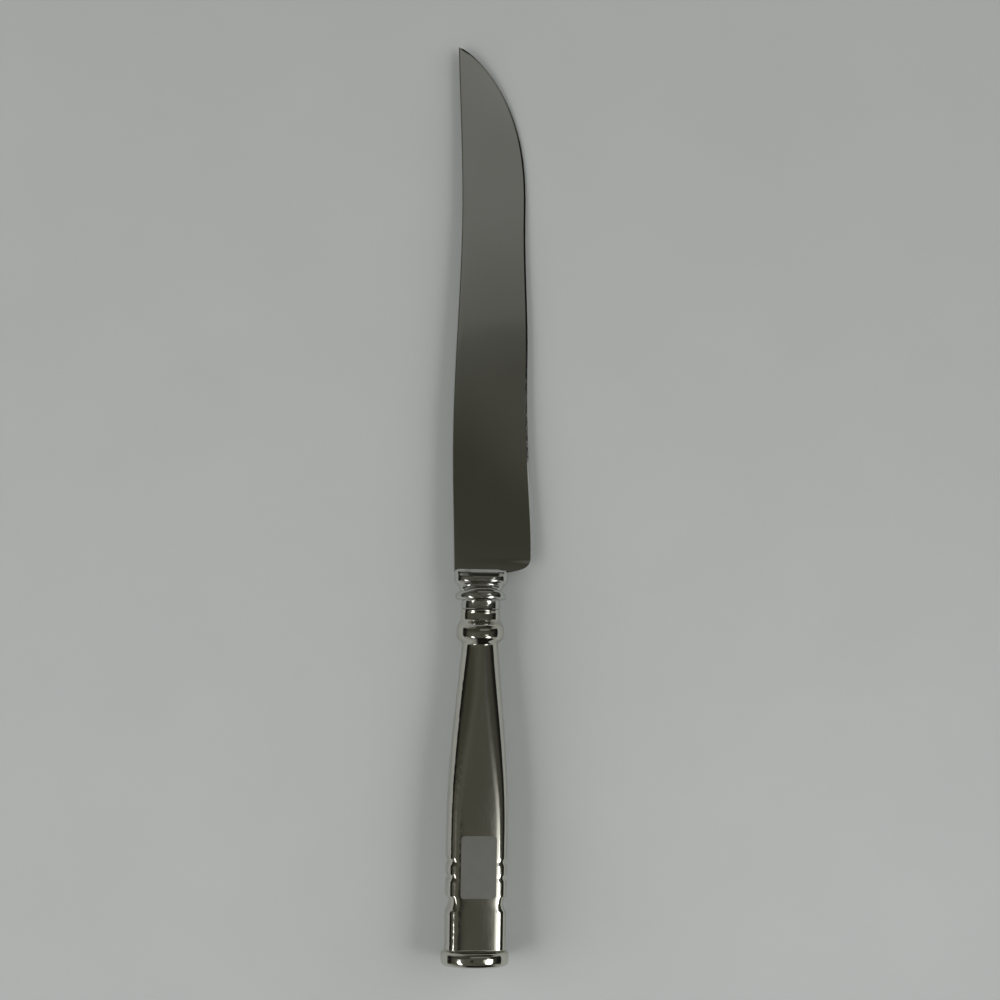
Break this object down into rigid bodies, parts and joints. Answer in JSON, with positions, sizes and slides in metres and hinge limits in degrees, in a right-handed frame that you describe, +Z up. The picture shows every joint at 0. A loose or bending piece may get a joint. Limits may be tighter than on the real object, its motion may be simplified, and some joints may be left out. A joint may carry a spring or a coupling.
{
  "type": "cake knife",
  "caption": "Long cake knife with an upswept stainless blade, a ringed steel bolster and a hollow, flat-panelled silver handle with a ball at its throat and a cushion cap at its butt.",
  "frame": {"origin": "under the middle of the knife's box, on the plane that touches the lowest point of its butt cap as the knife lies on its side", "axes": "+Y along the knife towards the blade's tip, +X towards the cutting edge, +Z up through the handle's flat panels"},
  "size_m": [0.0298, 0.3212, 0.0192],
  "materials": {
    "blade_steel": "polished stainless with fine grinding lines",
    "bolster_steel": "polished",
    "silver": "polished silver with fine wear",
    "solder": "filed flush",
    "cement": "set pitch and plaster",
    "label_foil": "satin silvered paper, blank"
  },
  "bodies": {
    "root": {"blade": "blade_steel", "bolster": "bolster_steel", "handle_front_shell": "silver", "handle_back_shell": "silver", "seam_solder_edge_side": "solder", "seam_solder_back_side": "solder", "cap_solder": "solder", "butt_cap": "silver", "handle_cement": "cement", "blank_label": "label_foil"}
  },
  "joints": []
}
